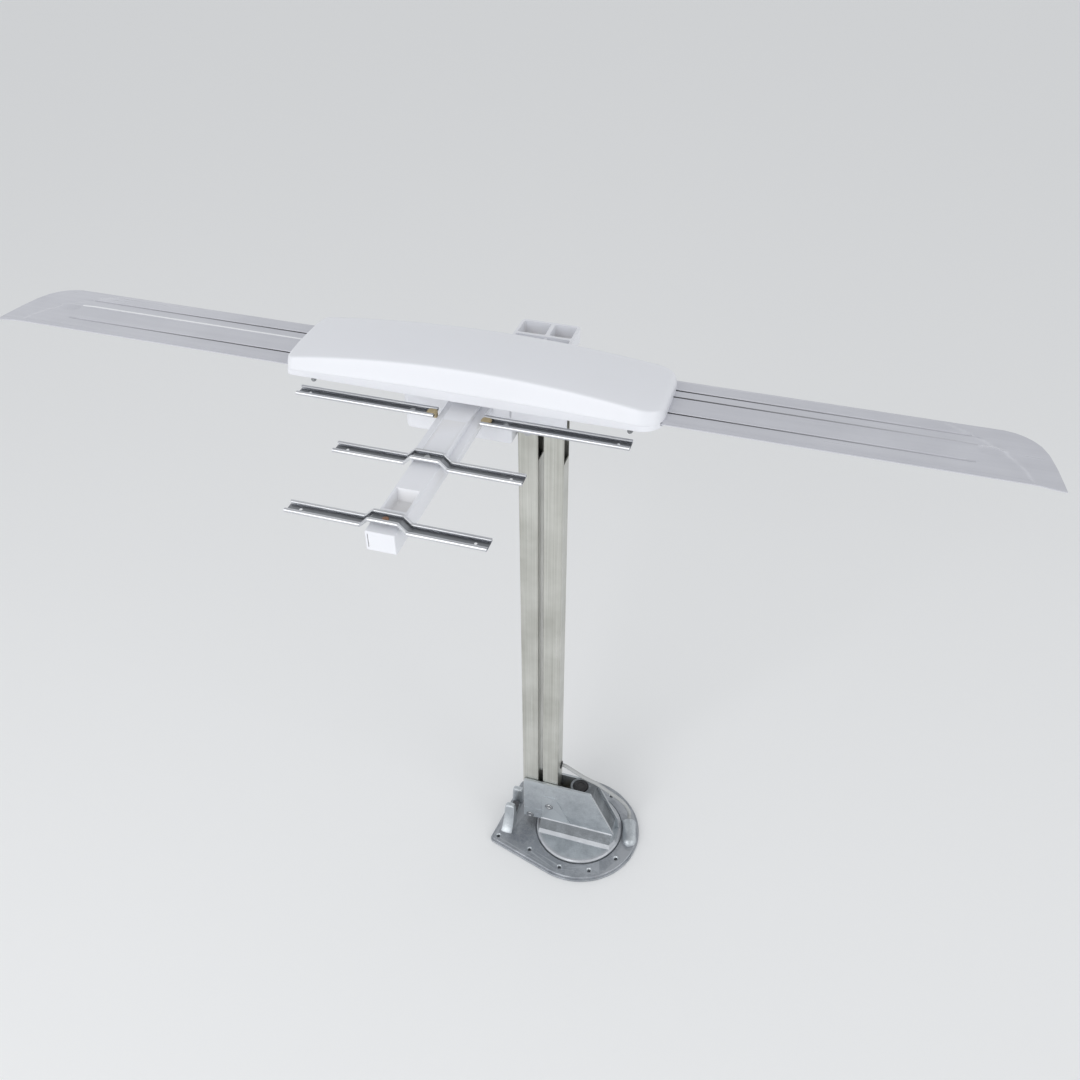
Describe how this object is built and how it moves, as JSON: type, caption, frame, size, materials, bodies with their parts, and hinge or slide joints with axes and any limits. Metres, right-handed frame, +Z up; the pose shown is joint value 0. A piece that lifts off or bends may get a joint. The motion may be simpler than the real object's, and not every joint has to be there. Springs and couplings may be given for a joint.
{
  "type": "caravan tv antenna",
  "caption": "Raised TV antenna for a caravan roof: cast swivel base, two-tube lifting mast, white head with sheet wings and a front booster boom.",
  "frame": {"origin": "on the swivel axis, at the underside of the roof plate", "axes": "+Z up along the swivel axis, X along the wings, -Y to the front where the booster boom points"},
  "size_m": [1.27, 0.4171, 0.869],
  "materials": {
    "cast_aluminium": "rough sand-cast, mottled",
    "turned_aluminium": "cast, smoother on the cheeks",
    "tube_aluminium": "mill finish, drawn streaks",
    "wing_aluminium": "pale satin",
    "white_plastic": "white, slightly satin",
    "white_plastic_top": "white, satin",
    "black_plastic": "matt black",
    "rubber_black": "matt",
    "rubber_grey": "matt",
    "steel": "zinc plated",
    "bracket_steel": "dark plated",
    "brass": "plain",
    "nylon": "natural nylon",
    "board": "green laminate",
    "bright_channel": "bright rolled metal",
    "insulator": "tan moulding",
    "coax_jacket": "grey jacket",
    "rivet": "copper brown"
  },
  "bodies": {
    "base": {"base_plate": "cast_aluminium", "travel_horns": "turned_aluminium", "bearing_ring": "black_plastic", "rest_pad": "rubber_grey", "coax_tail": "coax_jacket"},
    "turntable": {"gear_housing": "turned_aluminium", "retaining_ring": "steel", "bore_plug": "black_plastic", "worm_bushing": "nylon", "lower_pivot_pins": "steel", "coax_cable": "coax_jacket"},
    "worm": {"worm": "brass"},
    "lift_arm": {"lift_tube": "tube_aluminium", "sector_gear": "brass", "cable_grommet": "rubber_black"},
    "follower_arm": {"follower_tube": "tube_aluminium"},
    "head": {"head_bracket": "bracket_steel", "upper_pivot_pins": "steel", "lower_housing": "white_plastic", "housing_base": "white_plastic", "upper_housing": "white_plastic_top", "housing_screws": "steel", "amplifier_board": "board", "coax_socket": "brass", "left_wing": "wing_aluminium", "right_wing": "wing_aluminium", "wing_bolts": "steel", "back_clip": "white_plastic", "booster_boom": "white_plastic", "rear_element_left": "bright_channel", "rear_element_right": "bright_channel", "element_insulators": "insulator", "middle_element": "bright_channel", "front_element": "bright_channel", "element_rivets": "rivet"}
  },
  "joints": [
    {"name": "swivel", "type": "hinge", "parent": "base", "child": "turntable", "pos_m": [0, 0, 0.006], "axis": [0, 0, 1], "range_deg": [-175, 175]},
    {"name": "mast_lift", "type": "hinge", "parent": "turntable", "child": "lift_arm", "pos_m": [-0.0465, 0, 0.065], "axis": [0, -1, 0], "range_deg": [0, 86]},
    {"name": "follower_swing", "type": "hinge", "parent": "turntable", "child": "follower_arm", "pos_m": [-0.0785, 0, 0.033], "axis": [0, -1, 0], "range_deg": [0, 86]},
    {"name": "head_level", "type": "hinge", "parent": "lift_arm", "child": "head", "pos_m": [-0.0465, 0, 0.806], "axis": [0, 1, 0], "range_deg": [0, 86]},
    {"name": "worm_spin", "type": "hinge", "parent": "turntable", "child": "worm", "pos_m": [0, 0, 0.05], "axis": [0, 0, 1], "range_deg": [0, 3268]}
  ],
  "couplings": [
    {"joint": "follower_swing", "follows": "mast_lift", "ratio": 1},
    {"joint": "head_level", "follows": "mast_lift", "ratio": 1},
    {"joint": "worm_spin", "follows": "mast_lift", "ratio": 38}
  ]
}
